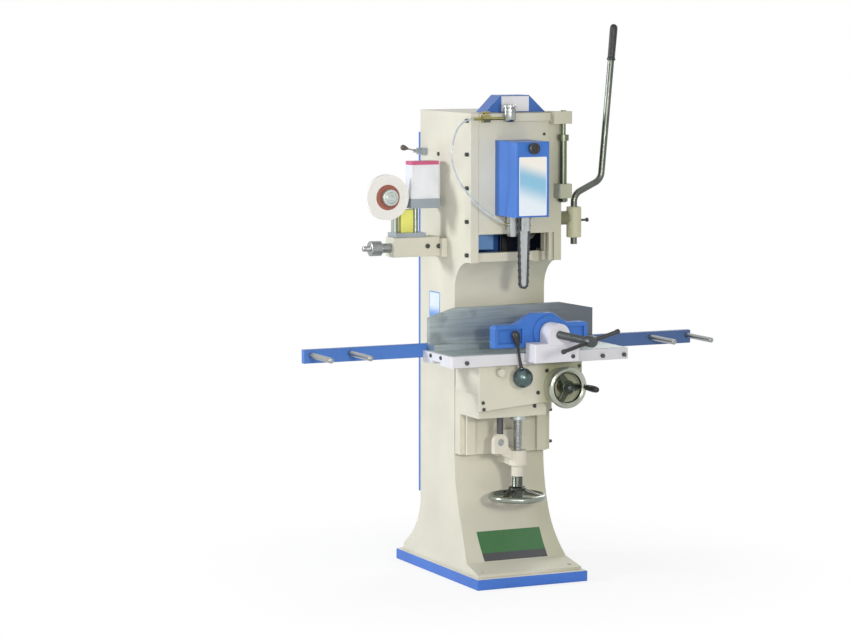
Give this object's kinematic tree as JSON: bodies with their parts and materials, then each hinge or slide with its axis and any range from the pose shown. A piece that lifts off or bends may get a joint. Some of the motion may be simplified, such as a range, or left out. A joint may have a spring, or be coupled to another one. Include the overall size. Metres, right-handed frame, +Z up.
{
  "type": "chain mortiser",
  "caption": "Floor-standing woodworking chain mortiser: hollow cast column, lever-fed chain head, rising knee, cross slide, vice table with fence and long work supports, side chain sharpener.",
  "frame": {"origin": "on the floor under the middle of the base plate", "axes": "+Z up, +X to the operator's right when facing the machine, front of the machine towards -Y"},
  "size_m": [1.43, 0.9655, 1.8371],
  "materials": {
    "cream_paint": "semi-gloss machine enamel over cast iron",
    "blue_paint": "semi-gloss blue enamel",
    "white_paint": "semi-gloss white enamel",
    "grey_iron": "ground and machined grey iron",
    "steel": "turned and ground steel",
    "chrome": "polished plating",
    "black_plastic": "moulded black plastic",
    "black_steel": "blackened steel",
    "brass": "turned brass",
    "hose": "pale translucent tube",
    "stone": "white bonded abrasive",
    "yellow_paint": "yellow enamel",
    "grey_blue_paint": "grey-blue enamel"
  },
  "bodies": {
    "column_body": {"base_plate": "blue_paint", "column_casting": "cream_paint", "rear_panel": "blue_paint", "head_keepers": "cream_paint", "sharpener_bracket": "cream_paint", "column_bolts": "steel", "balance_hood": "blue_paint", "stop_block": "cream_paint", "feed_bearing": "cream_paint", "switch_block": "cream_paint", "elevating_bracket": "cream_paint"},
    "head_body": {"slide_plate": "cream_paint", "feed_rack": "grey_iron", "stop_rod": "steel", "motor_housing": "grey_iron", "terminal_box": "blue_paint", "mortise_chain": "steel", "guide_bar": "steel", "bar_holder": "steel", "oil_hose": "hose", "chain_cover": "blue_paint", "cover_knob": "black_plastic", "oil_reservoir": "chrome", "oil_valve": "brass", "balance_chain": "steel"},
    "spindle_body": {"motor_shaft": "steel", "sprocket": "steel"},
    "feed_lever_body": {"feed_shaft": "steel", "lever_boss": "cream_paint", "lever_rod": "chrome", "lever_grip": "black_plastic"},
    "drum_body": {"balance_drum": "grey_iron"},
    "knee_body": {"knee_casting": "cream_paint", "knee_keepers": "cream_paint", "feed_nuts": "brass"},
    "elevator_body": {"elevating_screw": "steel", "elevating_wheel": "chrome"},
    "saddle_body": {"saddle": "cream_paint"},
    "cross_wheel_body": {"cross_screw": "steel", "front_wheel": "chrome", "wheel_handle": "black_plastic"},
    "table_body": {"table_frame": "white_paint", "table_top": "grey_iron", "table_rack": "grey_iron", "fence": "grey_iron", "support_beam": "blue_paint", "support_rods": "steel", "clamp_bracket": "white_paint"},
    "table_lever_body": {"table_pinion": "steel", "table_lever": "chrome", "lever_knob": "black_plastic"},
    "jaw_body": {"clamp_jaw": "blue_paint"},
    "clamp_screw_body": {"clamp_screw": "black_steel"},
    "grinder_body": {"grinder_carriage": "grey_blue_paint", "chain_rest": "yellow_paint", "grinder_motor": "white_paint"},
    "grinder_knob_body": {"grinder_knob": "steel"},
    "stone_body": {"grinding_wheel": "stone", "wheel_spindle": "steel"},
    "switch_body": {"switch_lever": "black_plastic"}
  },
  "joints": [
    {"name": "head_slide", "type": "slide", "parent": "column_body", "child": "head_body", "axis": [0, 0, 1], "range_m": [-0.13, 0], "deforming": ["balance_chain"]},
    {"name": "spindle_spin", "type": "hinge", "parent": "head_body", "child": "spindle_body", "pos_m": [-0.02, -0.1, 1.32], "axis": [0, 1, 0], "continuous": true},
    {"name": "feed_lever_turn", "type": "hinge", "parent": "column_body", "child": "feed_lever_body", "pos_m": [0.2, -0.075, 1.19], "axis": [1, 0, 0], "range_deg": [-1, 116]},
    {"name": "balance_drum_turn", "type": "hinge", "parent": "column_body", "child": "drum_body", "pos_m": [0.02, -0.125, 1.512], "axis": [0, 1, 0], "range_deg": [-91, 1]},
    {"name": "knee_slide", "type": "slide", "parent": "column_body", "child": "knee_body", "axis": [0, 0, 1], "range_m": [-0.045, 0.03]},
    {"name": "elevating_turn", "type": "hinge", "parent": "column_body", "child": "elevator_body", "pos_m": [-0.005, -0.214, 0.35], "axis": [0, 0, 1], "range_deg": [-1360, 2035]},
    {"name": "cross_slide", "type": "slide", "parent": "knee_body", "child": "saddle_body", "axis": [0, 1, 0], "range_m": [-0.1, 0.005]},
    {"name": "cross_wheel_turn", "type": "hinge", "parent": "saddle_body", "child": "cross_wheel_body", "pos_m": [0.106, -0.355, 0.656], "axis": [0, 1, 0], "range_deg": [-6010, 310]},
    {"name": "table_slide", "type": "slide", "parent": "saddle_body", "child": "table_body", "axis": [1, 0, 0], "range_m": [-0.049, 0.0105]},
    {"name": "table_lever_turn", "type": "hinge", "parent": "saddle_body", "child": "table_lever_body", "pos_m": [-0.056, -0.352, 0.696], "axis": [0, 1, 0], "range_deg": [-71, 16]},
    {"name": "clamp_slide", "type": "slide", "parent": "table_body", "child": "jaw_body", "axis": [0, 1, 0], "range_m": [0, 0.12]},
    {"name": "clamp_screw_turn", "type": "hinge", "parent": "jaw_body", "child": "clamp_screw_body", "pos_m": [0.045, -0.5, 0.838], "axis": [0, 1, 0], "range_deg": [-10, 3610]},
    {"name": "grinder_slide", "type": "slide", "parent": "column_body", "child": "grinder_body", "axis": [1, 0, 0], "range_m": [-0.02, 0.01]},
    {"name": "grinder_knob_turn", "type": "hinge", "parent": "column_body", "child": "grinder_knob_body", "pos_m": [-0.4, 0.04, 1.1], "axis": [1, 0, 0], "range_deg": [-910, 1810]},
    {"name": "stone_spin", "type": "hinge", "parent": "grinder_body", "child": "stone_body", "pos_m": [-0.373, 0.018, 1.27], "axis": [0, 1, 0], "continuous": true},
    {"name": "switch_turn", "type": "hinge", "parent": "column_body", "child": "switch_body", "pos_m": [-0.194, 0.17, 1.412], "axis": [0, 1, 0], "range_deg": [-25, 25]}
  ],
  "couplings": [
    {"joint": "feed_lever_turn", "follows": "head_slide", "rad_per_m": -15.385},
    {"joint": "balance_drum_turn", "follows": "head_slide", "rad_per_m": 12.048},
    {"joint": "elevating_turn", "follows": "knee_slide", "rad_per_m": -785.4},
    {"joint": "cross_wheel_turn", "follows": "cross_slide", "rad_per_m": 1047.2},
    {"joint": "table_lever_turn", "follows": "table_slide", "rad_per_m": 25},
    {"joint": "clamp_screw_turn", "follows": "clamp_slide", "rad_per_m": 523.6},
    {"joint": "grinder_knob_turn", "follows": "grinder_slide", "rad_per_m": -1570.8}
  ]
}
